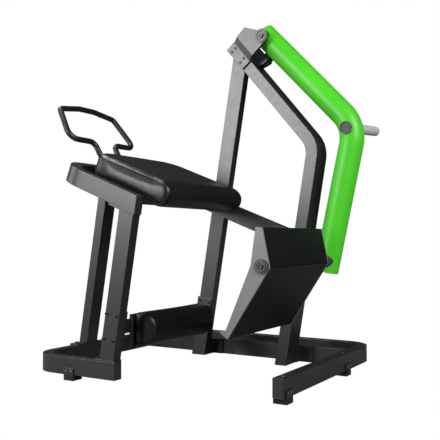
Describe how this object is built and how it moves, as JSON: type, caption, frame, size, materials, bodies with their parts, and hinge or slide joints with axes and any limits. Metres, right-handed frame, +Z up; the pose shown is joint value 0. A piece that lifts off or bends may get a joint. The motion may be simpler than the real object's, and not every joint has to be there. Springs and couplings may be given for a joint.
{
  "type": "plate-loaded rear kick machine",
  "caption": "Plate-loaded rear-kick gym machine: padded chest bench, knee pad and handle on a lever frame, with a swinging green arm, pivoting footplate and weight horn.",
  "frame": {"origin": "centre of the bounding box's base, on the floor", "axes": "+Z up; +X from the handle end towards the lever arm and footplate; +Y from the open side towards the weight horn"},
  "size_m": [1.4204, 1.177, 1.7475],
  "materials": {
    "frame_paint": "satin black powder coat",
    "cap_plastic": "matte",
    "rubber": "matte",
    "plate_grey": "brushed, dark",
    "black_bolt": "black oxide",
    "screw_steel": "zinc plated",
    "board": "plywood backing board, stained black",
    "upholstery": "black imitation leather (coated fabric) over foam",
    "arm_green": "gloss green powder coat",
    "hub_dark": "satin",
    "horn_steel": "satin chrome",
    "hub_steel": "turned steel",
    "footplate_paint": "satin powder coat"
  },
  "bodies": {
    "frame": {"base_near_leg": "frame_paint", "base_front_tube": "frame_paint", "base_back_leg": "frame_paint", "base_rear_tube": "frame_paint", "base_beam": "frame_paint", "tube_end_caps": "cap_plastic", "name_plate": "plate_grey", "foot_pads": "rubber", "foot_clips": "frame_paint", "foot_screws": "screw_steel", "near_front_post": "frame_paint", "near_post_plate": "frame_paint", "near_rail_plate": "frame_paint", "far_front_post": "frame_paint", "far_post_plate": "frame_paint", "middle_post": "frame_paint", "middle_post_flange": "frame_paint", "rear_column": "frame_paint", "column_flange": "frame_paint", "flange_bolts": "black_bolt", "frame_screws": "screw_steel", "top_near_rail": "frame_paint", "top_front_rail": "frame_paint", "top_far_rail": "frame_paint", "link_rail": "frame_paint", "pad_cross_bars": "frame_paint", "knee_crossbar": "frame_paint", "knee_end_plates": "frame_paint", "knee_bolts": "black_bolt", "knee_board": "board", "knee_pad": "upholstery", "chest_board": "board", "chest_pad": "upholstery", "handle_loop": "frame_paint", "column_top_plate": "frame_paint", "column_top_bolts": "black_bolt", "pivot_bracket": "frame_paint", "stop_bumper": "rubber", "pivot_shaft": "hub_steel", "pivot_washer": "hub_steel", "pivot_bolt": "hub_steel"},
    "lever": {"lever_arm": "arm_green", "arm_hub": "arm_green", "elbow_cap": "hub_dark", "weight_horn": "horn_steel", "horn_tip": "horn_steel", "foot_shaft": "hub_steel", "foot_near_hub": "hub_steel", "foot_near_bolt": "hub_steel", "foot_far_hub": "hub_dark"},
    "footplate": {"foot_near_side": "footplate_paint", "foot_far_side": "footplate_paint", "foot_back_upper": "footplate_paint", "foot_back_lower": "footplate_paint", "foot_front_upper": "footplate_paint", "foot_front_lower": "footplate_paint", "foot_top_cap": "footplate_paint", "foot_lip": "footplate_paint", "foot_panel_screws": "black_bolt"}
  },
  "joints": [
    {"name": "arm_swing", "type": "hinge", "parent": "frame", "child": "lever", "pos_m": [0.20816, 0.1955, 1.675], "axis": [0, -1, 0], "range_deg": [0, 50]},
    {"name": "footplate_pivot", "type": "hinge", "parent": "lever", "child": "footplate", "pos_m": [0.55366, -0.2555, 0.545], "axis": [0, 1, 0], "range_deg": [0, 30]}
  ]
}
